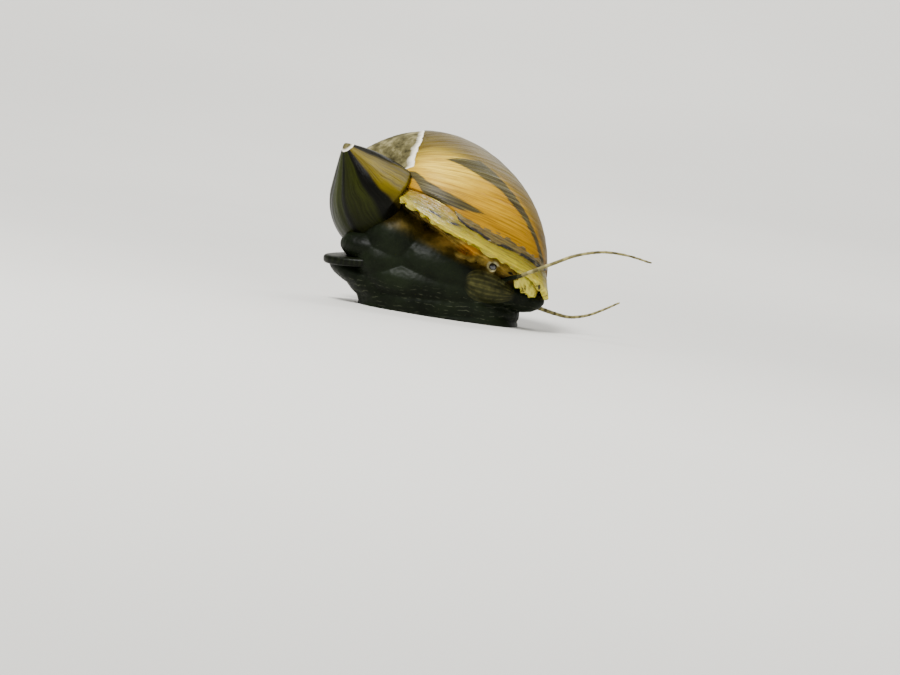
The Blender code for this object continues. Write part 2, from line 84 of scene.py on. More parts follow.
# Dark flames on the last whorl: their middle line, and their half width in degrees of growth
FLAMES = (
    (((-60, -47), (-20, -47), (0, -44), (14, -37), (29, -28), (44, -19), (58, -10), (80, 2)),
     ((-60, -2), (-28, -1), (-16, 3), (0, 7), (14, 4.5), (29, 3.5), (44, 2.4), (58, 2), (80, 1))),
    (((-70, -30), (-48, -27), (-38, -19), (-25, -16), (-11, -15.7), (0, -16), (20, -16)),
     ((-70, 3), (-48, 4.2), (-38, 5.6), (-25, 4.6), (-11, 3.0), (0, 1.3), (12, -1.6))),
    (((-180, -118), (-60, -108), (0, -94), (60, -80), (120, -60), (180, -50)),
     ((-180, 2), (-60, 5), (0, 7), (60, 8), (120, 5), (180, 3))),
    (((-180, -160), (-60, -150), (0, -140), (60, -128), (120, -112), (180, -100)),
     ((-180, 3), (-60, 7), (0, 10), (60, 8), (120, 9), (180, 4))),
    (((-180, -215), (-60, -200), (0, -188), (60, -180), (120, -165), (180, -150)),
     ((-180, 6), (-60, 10), (0, 13), (60, 9), (120, 12), (180, 6))),
)

# Feelers: the points that each passes through, from its root to its tip
FEELERS = (
    ((5.3, -3.6, 4.1), (6.1, -5.6, 4.7), (7.0, -7.0, 5.1), (7.9, -7.8, 5.65), (9.9, -8.2, 6.8),
     (11.9, -8.1, 7.85), (14.3, -7.6, 8.5), (16.6, -6.8, 8.5), (19.0, -5.8, 8.1)),
    ((8.2, 0.3, 2.3), (9.7, 1.2, 1.95), (11.1, 2.0, 1.65), (12.6, 2.8, 1.5),
     (14.3, 3.7, 1.9), (15.7, 4.4, 2.6), (17.2, 5.0, 3.5)),
)
EYES = (((3.9, -3.6, 4.75), (4.4, -5.7, 5.5)), ((6.4, 0.4, 2.2), (7.1, 1.8, 2.0)))

# Body masses: name, centre, half sizes, and turn in degrees
MASSES = (
    ("foot", (-0.1, -0.2, 1.0), (7.8, 5.1, 2.8), (0, 0, 0)),
    ("heel", (-5.9, -0.3, 1.9), (3.8, 3.5, 1.9), (0, 22, 0)),
    ("column", (-0.2, -0.9, 4.5), (6.2, 4.6, 3.7), (0, 8, 0)),
    ("shoulder", (-4.9, -1.4, 6.2), (3.3, 3.3, 3.6), (0, -14, 0)),
    ("throat", (3.2, -1.5, 4.0), (4.6, 3.6, 2.4), (0, 12, 0)),
    ("cheek", (4.6, -3.4, 3.25), (2.7, 1.6, 1.4), (0, 6, 8)),
    ("head", (6.0, -1.4, 3.3), (3.4, 2.8, 1.7), (0, 14, 0)),
    ("snout right", (8.2, -2.2, 2.6), (1.6, 1.35, 0.95), (0, -10, -12)),
    ("snout left", (8.2, -0.4, 2.6), (1.6, 1.35, 0.95), (0, -10, 12)),
    ("lid lobe", (-7.9, -0.5, 2.6), (3.2, 2.7, 1.15), (0, 20, 0)),
    ("flank", (-1.2, -2.7, 2.7), (6.2, 2.8, 2.2), (0, 4, 0)),
    ("back fold", (-5.4, -2.5, 4.4), (3.0, 2.2, 2.2), (0, 0, 0)),
    ("lid seat", (-6.9, -1.4, 5.3), (3.2, 2.6, 1.7), (0, 6, 0)),
    ("mantle knob", (2.4, -5.6, 6.1), (0.6, 0.6, 0.5), (0, 0, 0)),
    ("mantle fold", (1.3, -5.55, 6.2), (0.7, 0.5, 0.35), (0, 15, 0)),
    ("mantle fold", (3.5, -5.4, 5.9), (0.7, 0.5, 0.4), (0, 10, 0)),
)

# Marks on the skin. The near side's limit in Y. How close to a feeler's path its skin is, and how
# far along each feeler the pale skin begins. The inner and outer radius of an eye's pale ring
NEAR_SIDE = -1.5
FEELER_REACH, FEELER_PALE_FROM = 0.6, (3.6, 0.3)
EYE_RING = (0.46, 0.66)
# The cheek's oval from the side: its middle, half length and half height, the fall of its middle
# line, and its taper to the front. The mantle's lower edge: its height at X = 0, and its fall
CHEEK_X, CHEEK_Z, CHEEK_HALF_LENGTH, CHEEK_HALF_HEIGHT = 4.5, 3.45, 2.5, 1.45
CHEEK_FALL, CHEEK_TAPER = 0.12, 0.35
MANTLE_EDGE, MANTLE_FALL = 5.6, 0.29

# Where round the ring the broken inner layer shows, in degrees, and how near the shell's axis the
# lip stops
FLAKE_PLACE, LIP_CLEAR = (46, 97), 2.2

# Studio: the floor's width and its profile as (Y, Z). Lights as name, place, target, watts, size
FLOOR_WIDTH = 2400
FLOOR_PROFILE = ((-900, 0), (200, 0), (330, 8), (450, 34), (560, 84), (650, 160), (720, 260),
                 (770, 400), (800, 900))
LIGHTS = (
    ("key", (-90, -150, 230), (0, 0, 0), 1.9, 90),
    ("fill", (190, -220, 110), (0, 0, 0), 0.25, 200),
    ("rim", (80, 200, 180), (0, 0, 0), 0.2, 120),
    ("backdrop", (0, 300, 520), (0, 720, 120), 7.0, 500),
)
# Camera: the point that it looks at, the width seen there, and the sensor's width
VIEW_AIM, VIEW_WIDTH, SENSOR_WIDTH = (1.5, 0.0, -1.98), 85.5, 36.0


def linear(value):
    """A linear RGBA colour from an sRGB hex value."""
    parts = [int(value[k:k + 2], 16) / 255 for k in (1, 3, 5)]
    return (*[c / 12.92 if c < 0.04045 else ((c + 0.055) / 1.055) ** 2.4 for c in parts], 1.0)


def add_node(tree, kind, *values, out=None, links=None, stops=(), **settings):
    """Adds a node with its settings, feeds its inputs in order or by name, and gives its output."""
    made = tree.nodes.new("ShaderNode" + kind)
    for name, value in settings.items():
        setattr(made, name, value)
    if stops:
        keys = made.color_ramp.elements
        while len(keys) < len(stops):
            keys.new(0.5)
        for key, (place, colour) in zip(keys, sorted(stops)):
            key.position, key.color = place, linear(colour)
    feed(tree, made, dict(zip((s.identifier for s in made.inputs if s.enabled), values)))
    feed(tree, made, links or {})
    return made.outputs[out] if out else next(s for s in made.outputs if s.enabled)


def feed(tree, made, links):
    """Sets or links a node's inputs, named as in the editor or by their identifier."""
    for name, value in links.items():
        socket = next(s for s in made.inputs if s.enabled and name in (s.identifier, s.name))
        if isinstance(value, bpy.types.NodeSocket):
            tree.links.new(value, socket)
        else:
            socket.default_value = value


def blank_material(name):
    made = bpy.data.materials.new(name)
    made.use_nodes = True
    return made, made.node_tree, made.node_tree.nodes["Principled BSDF"]


def between(tree, value, low, high, soft):
    """One inside a range of a value and zero outside it, with soft ends."""
    rise = add_node(tree, "MapRange", value, low - soft, low + soft,
                    interpolation_type="SMOOTHSTEP")
    fall = add_node(tree, "MapRange", value, high - soft, high + soft, 1.0, 0.0,
                    interpolation_type="SMOOTHSTEP")
    return add_node(tree, "Math", rise, fall, operation="MULTIPLY")


def shell_matrix(swell=1.0):
    heading = Matrix.Rotation(AXIS_HEADING, 4, "Z")
    dip = Matrix.Rotation(math.radians(90) + AXIS_DIP, 4, "Y")
    spin = Matrix.Rotation(LIP_SPIN, 4, "Z")
    return Matrix.Translation(APEX) @ heading @ dip @ spin @ Matrix.Scale(swell, 4)


def ring_point(degrees, around, grow=0.0):
    """A point of the shell's ring at an angle of growth, in the shell's own frame."""
    angle = math.radians(degrees)
    scale = WHORL_GROWTH ** (angle / math.tau)
    crown = math.exp(-((degrees - CROWN_ANGLE) / CROWN_SPREAD) ** 2)
    grow += CROWN_HEIGHT * crown * max(0.0, math.cos(around - CROWN_AROUND)) ** 2
    across = (RING_HALF_WIDTH + grow / scale) * math.cos(around)
    along = (RING_HALF_LENGTH + grow / scale) * math.sin(around)
    radius = RING_RADIUS + across * math.cos(RING_TILT) - along * math.sin(RING_TILT)
    depth = RING_DEPTH + across * math.sin(RING_TILT) + along * math.cos(RING_TILT)
    turn = angle + LIP_LEAN * (depth - RING_DEPTH) / RING_HALF_WIDTH
    return Vector((radius * math.cos(turn), radius * math.sin(turn), depth)) * scale


def line_at(line, around):
    """The growth of a line on the shell, at a place round the ring in radians."""
    degrees = (np.degrees(around) + 180) % 360 - 180
    return np.interp(degrees, [at for at, _ in line], [to for _, to in line])


def ripple(around, rate, seed):
    """A smooth wandering value that closes on itself round the ring."""
    return noise.noise(Vector((math.cos(around), math.sin(around), seed)) * rate)


def points_and_edges(items):
    """The points and the edges among what a mesh operator gives back."""
    return ([item for item in items if isinstance(item, bmesh.types.BMVert)],
            [item for item in items if isinstance(item, bmesh.types.BMEdge)])


def sweep_ring(shape, start, end, steps, sides, level, cap=True):
    """Extrudes the ring from one growth to another; each may vary round the ring."""
    ring = bmesh.ops.create_circle(shape, radius=1, segments=sides)["verts"]
    around = [math.tau * k / sides for k in range(sides)]
    edges = list({edge for vert in ring for edge in vert.link_edges})
    matrix = shell_matrix()
    if cap:
        bmesh.ops.contextual_create(shape, geom=edges)
    for step in range(steps + 1):
        if step:
            made = bmesh.ops.extrude_edge_only(shape, edges=edges)["geom"]
            ring, edges = points_and_edges(made)
        for vert, place in zip(ring, around):
            growth = start(place) + (end(place) - start(place)) * step / steps
            vert.co = matrix @ ring_point(growth, place, level(growth, place)) * MM
    if cap:
        bmesh.ops.contextual_create(shape, geom=edges)


def face_out(shape):
    bmesh.ops.recalc_face_normals(shape, faces=shape.faces)
    if shape.calc_volume(signed=True) < 0:
        bmesh.ops.reverse_faces(shape, faces=shape.faces)


def object_from(name, shape):
    mesh = bpy.data.meshes.new(name)
    shape.to_mesh(mesh)
    shape.free()
    made = bpy.data.objects.new(name, mesh)
    bpy.context.scene.collection.objects.link(made)
    return made


def apply_modifiers(target):
    graph = bpy.context.evaluated_depsgraph_get()
    mesh = bpy.data.meshes.new_from_object(target.evaluated_get(graph), depsgraph=graph)
    target.modifiers.clear()
    target.data = mesh


def fuse(target, voxel, smoothing):
    """Fuses overlapping forms into one even surface."""
    remesh = target.modifiers.new("fuse", "REMESH")
    remesh.mode = "VOXEL"
    remesh.voxel_size = voxel * MM
    smooth = target.modifiers.new("smooth", "SMOOTH")
    smooth.factor = 0.5
    smooth.iterations = smoothing
    apply_modifiers(target)


def read_points(mesh):
    """The points in mm, and the direction that the surface faces at each."""
    flat, facing = np.empty(len(mesh.vertices) * 3), np.empty(len(mesh.vertices) * 3)
    mesh.vertices.foreach_get("co", flat)
    mesh.vertex_normals.foreach_get("vector", facing)
    return flat.reshape(-1, 3) / MM, facing.reshape(-1, 3)


def move_points(mesh, points):
    mesh.vertices.foreach_set("co", (points * MM).ravel())
    mesh.update()


def store(mesh, **values):
    for name, numbers in values.items():
        made = mesh.attributes.new(name, "FLOAT", "POINT")
        made.data.foreach_set("value", np.asarray(numbers, dtype=np.float32))


def fractal(points, rate):
    """Layered noise at each point, rougher than one noise alone."""
    return np.array([noise.fractal(Vector(point) * rate, 0.7, 2.1, 4) for point in points])


def step_up(values, low, high):
    share = np.clip((values - low) / (high - low), 0, 1)
    return share * share * (3 - 2 * share)


def in_shell(points):
    """The points in the shell's own frame."""
    inverse = np.array(shell_matrix().inverted())
    return points @ inverse[:3, :3].T + inverse[:3, 3]


def growth_places(points):
    """The growth in degrees, and the place round the ring in radians, of each point."""
    local, top = in_shell(points), 60.0
    radius = np.hypot(local[:, 0], local[:, 1])
    heading = np.degrees(np.arctan2(local[:, 1], local[:, 0]))
    angle = heading
    for _ in range(9):
        angle = top - np.mod(top - angle, 360.0)
        depth = local[:, 2] / WHORL_GROWTH ** (angle / 360.0)
        angle = heading - np.degrees(LIP_LEAN * (depth - RING_DEPTH) / RING_HALF_WIDTH)
    angle = top - np.mod(top - angle, 360.0)
    scale = WHORL_GROWTH ** (angle / 360.0)
    out, down = radius / scale - RING_RADIUS, local[:, 2] / scale - RING_DEPTH
    across = out * math.cos(RING_TILT) + down * math.sin(RING_TILT)
    along = down * math.cos(RING_TILT) - out * math.sin(RING_TILT)
    return angle, np.arctan2(along / RING_HALF_LENGTH, across / RING_HALF_WIDTH)


def finish_piece(target, material, slot, *nodes):
    """Shades a piece smooth, dresses it, and sets it in the place of its solids."""
    target.data.materials.clear()
    target.data.materials.append(material)
    target.data.shade_smooth()
    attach(target, "root")
    if nodes:
        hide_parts(*nodes)


def growth_ribs(tree, across, along, rate, stretch):
    """Noise drawn out along the shell's growth lines."""
    lines = add_node(tree, "CombineXYZ",
                     add_node(tree, "Math", across, rate, operation="MULTIPLY"),
                     add_node(tree, "Math", along, stretch, operation="MULTIPLY"))
    return add_node(tree, "TexNoise", lines, 1.0, 4.0, 0.65)


def add_wear(tree, coloured, place):
    """Chalky bare shell where the outer layer has come off, with a white broken edge."""
    pits = add_node(tree, "TexNoise", place, 1100.0, 4.0, 0.6)
    ragged = add_node(tree, "Math", add_node(tree, "TexNoise", place, 420.0, 4.0, 0.6), 0.5,
                      add_node(tree, "Attribute", out="Fac", attribute_name="worn"),
                      operation="MULTIPLY_ADD")
    chalk = add_node(tree, "ValToRGB", pits,
                     stops=[(0.3, "#2e2a14"), (0.5, "#565032"), (0.7, "#857d58")])
    chalk = add_node(tree, "Mix", add_node(tree, "MapRange", ragged, 0.8, 0.98),
                     linear("#e6e0cc"), chalk, data_type="RGBA")
    bare = add_node(tree, "MapRange", ragged, 0.74, 0.78, interpolation_type="SMOOTHSTEP")
    return add_node(tree, "Mix", bare, coloured, chalk, data_type="RGBA"), bare, pits


def horn_shell():
    """Aragonite under thin horn skin, laid down rib by rib: satin gold-brown with dark flames.

    Ribs are about 0.15 mm apart in life and follow the lip. The flames lie nearly along them.
    """
    made, tree, shader = blank_material("banded_horn_shell")
    growth, around, flame, pale, beyond = (
        add_node(tree, "Attribute", out="Fac", attribute_name=name)
        for name in ("growth", "around", "off_flame", "pale", "beyond"))
    place = add_node(tree, "TexCoord", out="Object")
    ribs = growth_ribs(tree, growth, around, 1.6, 0.022)
    fine = growth_ribs(tree, growth, around, 4.5, 0.03)
    cloud = growth_ribs(tree, growth, around, 0.12, 0.02)
    ground = add_node(tree, "ValToRGB", add_node(tree, "MapRange", growth, -230.0, 0.0), stops=[
        (0.0, "#3a340a"), (0.45, "#4a400a"), (0.62, "#52470a"), (0.74, "#5e5008"),
        (0.79, "#7a6606"), (0.83, "#a88404"), (0.88, "#b48b00"), (0.95, "#9c7400"),
        (1.0, "#846000")])
    # Painted highlight: the ground turns pale cream where the key light falls on the whorl's upper
    # left
    ground = add_node(tree, "Mix", pale, ground, linear("#f8d850"), data_type="RGBA")
    ground = add_node(tree, "Mix", beyond, ground, linear("#574a06"), data_type="RGBA")
    tint = add_node(tree, "ValToRGB", ribs,
                    stops=[(0.3, "#7a6624"), (0.5, "#ece2b4"), (0.62, "#ffffff")])
    ground = add_node(tree, "Mix", 0.8, ground, tint, data_type="RGBA", blend_type="MULTIPLY")
    tint = add_node(tree, "ValToRGB", cloud, stops=[(0.35, "#a08c3c"), (0.62, "#ffffff")])
    ground = add_node(tree, "Mix", 0.55, ground, tint, data_type="RGBA", blend_type="MULTIPLY")
    lines = add_node(tree, "Math", add_node(tree, "MapRange", fine, 0.56, 0.66, 0.0, 0.7),
                     between(tree, growth, -24.0, -6.0, 5.0), operation="MULTIPLY")
    ground = add_node(tree, "Mix", lines, ground, linear("#3d250c"), data_type="RGBA")
    ragged = add_node(tree, "Math", ribs, 4.0, flame, operation="MULTIPLY_ADD")
    ragged = add_node(tree, "Math", add_node(tree, "TexNoise", place, 500.0, 3.0, 0.6), 2.0,
                      ragged, operation="MULTIPLY_ADD")
    dark = add_node(tree, "ValToRGB", ribs,
                    stops=[(0.35, "#16160b"), (0.52, "#302f1a"), (0.7, "#6a6742")])
    share = add_node(tree, "MapRange", ragged, 2.1, 3.7, 0.94, 0.0,
                     interpolation_type="SMOOTHSTEP")
    coloured = add_node(tree, "Mix", share, ground, dark, data_type="RGBA")
    coloured, bare, pits = add_wear(tree, coloured, place)
    bump = add_node(tree, "Bump", 0.35, 0.00005, links={"Height": fine})
    bump = add_node(tree, "Bump", 0.3, 0.00012, links={"Height": ribs, "Normal": bump})
    pitted = add_node(tree, "Math", pits, bare, operation="MULTIPLY")
    bump = add_node(tree, "Bump", 0.6, 0.0001, links={"Height": pitted, "Normal": bump})
    feed(tree, shader, {"Base Color": coloured, "Normal": bump, "Coat Weight": 0.03,
                        "Coat Roughness": 0.25, "Specular IOR Level": 0.1,
                        "Roughness": add_node(tree, "MapRange", bare, 0.0, 1.0, 0.4, 0.8)})
    return made


def horn_spire():
    """The older shell round the apex: dark green horn and gold flames, worn white at the tip.

    The flames run out from the apex, so they read the heading round the shell's own axis.
    """
    made, tree, shader = blank_material("dark_horn_spire")
    heading_x, heading_y, far = (add_node(tree, "Attribute", out="Fac", attribute_name=name)
                                 for name in ("heading_x", "heading_y", "far"))
    turn = add_node(tree, "Math", heading_y, heading_x, operation="ARCTAN2")
    place = add_node(tree, "TexCoord", out="Object")
    sway = add_node(tree, "TexNoise", place, 260.0, 2.0, 0.6)
    swayed = add_node(tree, "Math", sway, 0.28, turn, operation="MULTIPLY_ADD")
    share = add_node(tree, "MapRange", swayed, 0.14 - math.pi, 0.14 + math.pi)
    flames = add_node(tree, "ValToRGB", share, stops=[
        (0.0, "#1a1d0a"), (0.06, "#0b0c06"), (0.1, "#0b0c06"), (0.12, "#5a410c"),
        (0.2, "#6b4d0e"), (0.22, "#121208"), (0.3, "#1e220a"), (0.36, "#21250b"),
        (0.4, "#0f0e07"), (0.455, "#131208"), (0.47, "#4c4104"), (0.5, "#655706"),
        (0.55, "#4f4403"), (0.562, "#080805"), (0.605, "#080805"), (0.62, "#222608"),
        (0.7, "#1a1d08"), (0.712, "#090a05"), (0.722, "#090a05"), (0.735, "#23280a"),
        (0.79, "#2c320e"), (0.81, "#0d0e06"), (0.86, "#1c200a"), (0.9, "#46360c"),
        (1.0, "#1a1d0a")])
    ribs = growth_ribs(tree, swayed, far, 30.0, 0.25)
    tint = add_node(tree, "ValToRGB", ribs, stops=[(0.35, "#776a52"), (0.56, "#ffffff")])
    coloured = add_node(tree, "Mix", 0.7, flames, tint, data_type="RGBA", blend_type="MULTIPLY")
    # Painted shade: the spire darkens towards near-black further from the apex, as its lower part
    # lies in shadow
    coloured = add_node(tree, "Mix", add_node(tree, "MapRange", far, 5.5, 10.5, 0.0, 0.6),
                        coloured, linear("#0e0f0a"), data_type="RGBA")
    coloured, bare, pits = add_wear(tree, coloured, place)
    bump = add_node(tree, "Bump", 0.35, 0.0001, links={"Height": ribs})
    pitted = add_node(tree, "Math", pits, bare, operation="MULTIPLY")
    bump = add_node(tree, "Bump", 0.5, 0.0001, links={"Height": pitted, "Normal": bump})
    feed(tree, shader, {"Base Color": coloured, "Normal": bump, "Coat Weight": 0.01,
                        "Coat Roughness": 0.2, "Specular IOR Level": 0.05,
                        "Roughness": add_node(tree, "MapRange", bare, 0.0, 1.0, 0.36, 0.8)})
    return made


def lip_shell():
    """Fresh shell at the lip, thin and not yet dark: mustard yellow, chipped, a little see-through.

    The older layer over it ends in a broken dark line, and its front end is bare and pale.
    """
    made, tree, shader = blank_material("fresh_aragonite_lip")
    growth, around, past_ledge, past_layer = (
        add_node(tree, "Attribute", out="Fac", attribute_name=name)
        for name in ("growth", "around", "past_ledge", "past_layer"))
    place = add_node(tree, "TexCoord", out="Object")
    ribs = growth_ribs(tree, growth, around, 1.5, 0.05)
    blots = add_node(tree, "TexNoise", place, 650.0, 3.0, 0.6)
    fine = add_node(tree, "TexNoise", place, 1700.0, 3.0, 0.6)
    sway = add_node(tree, "Math", blots, 3.0, -1.5, operation="MULTIPLY_ADD")
    wander = add_node(tree, "Math", growth, sway, operation="ADD")
    band = add_node(tree, "ValToRGB", add_node(tree, "MapRange", wander, -15.0, 5.0), stops=[
        (0.0, "#6d5008"), (0.12, "#7c5e0a"), (0.35, "#867010"), (0.5, "#6f620c"),
        (0.62, "#8a7c0e"), (0.72, "#a3950e"), (0.76, "#baa91c"), (0.85, "#c9bd48"),
        (1.0, "#cfc67a")])
    tint = add_node(tree, "ValToRGB", ribs, stops=[(0.35, "#7d7458"), (0.58, "#ffffff")])
    band = add_node(tree, "Mix", 0.7, band, tint, data_type="RGBA", blend_type="MULTIPLY")
    ledge = add_node(tree, "Math", sway, past_ledge, operation="ADD")
    pale = add_node(tree, "Math", between(tree, ledge, -1.0, 1.3, 0.3),
                    between(tree, around, -32.0, -6.0, 4.0), operation="MULTIPLY")
    band = add_node(tree, "Mix", pale, band, linear("#c8b53c"), data_type="RGBA")
    layer = add_node(tree, "Math", sway, past_layer, operation="ADD")
    olive = add_node(tree, "ValToRGB", ribs, stops=[(0.35, "#2a2110"), (0.65, "#5b4c22")])
    band = add_node(tree, "Mix", add_node(tree, "MapRange", layer, -0.4, 0.2, 0.85, 0.0), band,
                    olive, data_type="RGBA")
    broken = add_node(tree, "MapRange", blots, 0.44, 0.5)
    crack = add_node(tree, "Math", between(tree, layer, -0.7, 0.5, 0.25), broken,
                     operation="MULTIPLY")
    chip = add_node(tree, "Math", between(tree, wander, -4.6, -3.4, 0.3),
                    between(tree, around, -34.0, -6.0, 3.0), operation="MULTIPLY")
    chip = add_node(tree, "Math", chip, broken, operation="MULTIPLY")
    chip = add_node(tree, "Math", crack, chip, operation="MAXIMUM")
    band = add_node(tree, "Mix", chip, band, linear("#120d06"), data_type="RGBA")
    bare = add_node(tree, "Math", add_node(tree, "MapRange", wander, 0.2, 1.0),
                    add_node(tree, "MapRange", around, 40.0, 50.0), operation="MULTIPLY")
    chalk = add_node(tree, "ValToRGB", fine,
                     stops=[(0.34, "#2e2808"), (0.4, "#a99c2c"), (0.6, "#d8ce50")])
    band = add_node(tree, "Mix", bare, band, chalk, data_type="RGBA")
    height = add_node(tree, "Math", add_node(tree, "Math", fine, bare, operation="MULTIPLY"),
                      0.4, ribs, operation="MULTIPLY_ADD")
    bump = add_node(tree, "Bump", 0.5, 0.00012, links={"Height": height})
    feed(tree, shader, {"Base Color": band, "Normal": bump, "Coat Weight": 0.1,
                        "Coat Roughness": 0.2, "Specular IOR Level": 0.35,
                        "Subsurface Weight": 0.12,
                        "Subsurface Scale": 0.0004,
                        "Roughness": add_node(tree, "MapRange", bare, 0.0, 1.0, 0.4, 0.7)})
    return made


def wet_flesh():
    """Wet snail flesh: near-black, its own dark colour deepened as painted shade for the shadowed
    lower body, with fine pale lines on the foot and brown on the mantle.

    The feelers' rings are about 0.2 mm apart, and the foot's lines about 0.4 mm.
    """
    made, tree, shader = blank_material("wet_snail_flesh")
    marks = {name: add_node(tree, "Attribute", out="Fac", attribute_name=name)
             for name in ("mantle", "cheek", "cheek_glow", "feeler", "feeler_pale", "foot", "warm",
                          "eye_ring")}
    place = add_node(tree, "TexCoord", out="Object")
    fine = add_node(tree, "TexNoise", place, 1500.0, 4.0, 0.6)
    cloud = add_node(tree, "TexNoise", place, 300.0, 3.0, 0.6)
    # Partly painted shade: the flesh's own dark colour is pushed to near-black for the deep shadow
    # on the lower flank
    coloured = add_node(tree, "ValToRGB", cloud, stops=[(0.35, "#060903"), (0.7, "#12180b")])
    warped = add_node(tree, "Math", cloud, 1.6, marks["foot"], operation="MULTIPLY_ADD")
    wave = add_node(tree, "Math", warped, math.tau / 0.42, operation="MULTIPLY")
    wave = add_node(tree, "Math", wave, operation="SINE")
    pale = add_node(tree, "Math", add_node(tree, "MapRange", wave, 0.8, 0.98, 0.0, 0.3),
                    add_node(tree, "MapRange", fine, 0.5, 0.62), operation="MULTIPLY")
    pale = add_node(tree, "Math", pale, between(tree, marks["foot"], 0.2, 2.6, 0.4),
                    operation="MULTIPLY")
    coloured = add_node(tree, "Mix", pale, coloured, linear("#5d604c"), data_type="RGBA")
    brown = add_node(tree, "ValToRGB", add_node(tree, "TexNoise", place, 600.0, 4.0, 0.6),
                     stops=[(0.3, "#352a0c"), (0.5, "#75601e"), (0.68, "#ab8c3c")])
    coloured = add_node(tree, "Mix", marks["mantle"], coloured, brown, data_type="RGBA")
    coloured = add_node(tree, "Mix", marks["warm"], coloured, linear("#b87c14"),
                        data_type="RGBA")
    # The cheek's own olive oval with its arcs; cheek_glow paints it lighter towards its top, as
    # painted light from above
    rings = add_node(tree, "Math", marks["cheek"], 21.0, operation="MULTIPLY")
    rings = add_node(tree, "Math", rings, operation="SINE")
    cheek_arcs_and_sheen = add_node(tree, "Math", between(tree, marks["cheek"], -1.0, 0.96, 0.05),
                     add_node(tree, "MapRange", rings, -0.2, 0.9, 0.45, 1.0),
                     operation="MULTIPLY")
    cheek_arcs_and_sheen = add_node(tree, "Math", cheek_arcs_and_sheen, marks["cheek_glow"], operation="MULTIPLY")
    olive = add_node(tree, "ValToRGB", fine, stops=[(0.35, "#33321a"), (0.65, "#57552e")])
    coloured = add_node(tree, "Mix", cheek_arcs_and_sheen, coloured, olive, data_type="RGBA")
    beads = add_node(tree, "Math", marks["feeler"], math.tau / 0.22, operation="MULTIPLY")
    beads = add_node(tree, "Math", beads, operation="SINE")
    ringed = add_node(tree, "Mix", add_node(tree, "MapRange", beads, -1.0, 1.0),
                      linear("#4a4428"), linear("#8b8255"), data_type="RGBA")
    coloured = add_node(tree, "Mix", marks["feeler_pale"], coloured, ringed, data_type="RGBA")
    cream = add_node(tree, "ValToRGB", fine, stops=[(0.4, "#6a6440"), (0.6, "#b9b184")])
    coloured = add_node(tree, "Mix", marks["eye_ring"], coloured, cream, data_type="RGBA")
    height = add_node(tree, "Math", beads, 0.35, fine, operation="MULTIPLY_ADD")
    bump = add_node(tree, "Bump", 0.45, 0.00006, links={"Height": height})
    bump = add_node(tree, "Bump", 0.35, 0.0002, links={"Height": cloud, "Normal": bump})
    feed(tree, shader, {"Base Color": coloured, "Normal": bump, "Roughness": 0.5,
                        "Specular IOR Level": 0.06, "Coat Weight": 0.02, "Coat Roughness": 0.35})
    return made


def operculum_enamel():
    """Shelly operculum: near-black olive enamel with fine curved growth lines, 0.2 mm apart; its
    own dark olive is darkened as painted shade, since it lies in shadow under the shell.
    """
    made, tree, shader = blank_material("shelly_operculum")
    centred = add_node(tree, "Mapping", add_node(tree, "TexCoord", out="Object"),
                       (0.0028, 0.0006, 0.0))
    rings = add_node(tree, "TexWave", centred, 800.0, 3.0, 3.0, 2.0, out="Fac",
                     wave_type="RINGS", rings_direction="Z")
    # Painted shade: the lid's colours are kept near-black with faint rings, for the shadow it sits
    # in
    shade = add_node(tree, "ValToRGB", rings,
                     stops=[(0.2, "#070903"), (0.6, "#0a0d05"), (0.95, "#101308")])
    bump = add_node(tree, "Bump", 0.12, 0.00005, links={"Height": rings})
    feed(tree, shader, {"Base Color": shade, "Normal": bump, "Roughness": 0.4,
                        "Specular IOR Level": 0.08})
    return made


def inner_enamel():
    """Inner shell enamel: pale, cloudy and smooth, as the mantle polishes it."""
    made, tree, shader = blank_material("shell_enamel")
    cloud = add_node(tree, "TexNoise", add_node(tree, "TexCoord", out="Object"), 300.0, 2.0)
    shade = add_node(tree, "ValToRGB", cloud, stops=[(0.3, "#8f8058"), (0.7, "#bfb38a")])
    feed(tree, shader, {"Base Color": shade, "Roughness": 0.25})
    return made


def eye_lens():
    """Eye lens: black and clear-coated, so that it catches one small light."""
    made, tree, shader = blank_material("eye_lens")
    cloud = add_node(tree, "TexNoise", add_node(tree, "TexCoord", out="Object"), 2500.0, 3.0)
    shade = add_node(tree, "ValToRGB", cloud, stops=[(0.4, "#040405"), (0.7, "#0b0a0d")])
    feed(tree, shader, {"Base Color": shade, "Roughness": 0.08, "Coat Weight": 1.0,
                        "Coat Roughness": 0.02})
    return made


def studio_paper(colour):
    """Matt studio paper: pale, with a faint unevenness."""
    made, tree, shader = blank_material("matt_studio_paper")
    cloud = add_node(tree, "TexNoise", add_node(tree, "TexCoord", out="Object"), 6.0, 3.0)
    shade = add_node(tree, "ValToRGB", cloud, stops=[(0.3, "#f4f4f4"), (0.7, "#ffffff")])
    shade = add_node(tree, "Mix", 1.0, linear(colour), shade, data_type="RGBA",
                     blend_type="MULTIPLY")
    feed(tree, shader, {"Base Color": shade, "Roughness": 0.85})
    return made


class NeriteShellSettings(bpy.types.PropertyGroup):
    voxel: FloatProperty(name="Fineness", description="Surface grain of the shell, in mm",
                         default=0.135, min=0.1, max=0.5)
    rib_height: FloatProperty(name="Rib Height", description="Height of growth ribs, in mm",
                              default=0.035, min=0, max=0.2)
    flare: FloatProperty(name="Lip Flare", description="How far the lip turns out, in mm",
                         default=0.25, min=0, max=1)
    lip_wall: FloatProperty(name="Lip Wall", description="Thickness of the lip, in mm",
                            default=0.55, min=0.2, max=1.2)
    layer: FloatProperty(name="Layer Height", description="Step from old to new shell, in mm",
                         default=0.16, min=0, max=0.5)


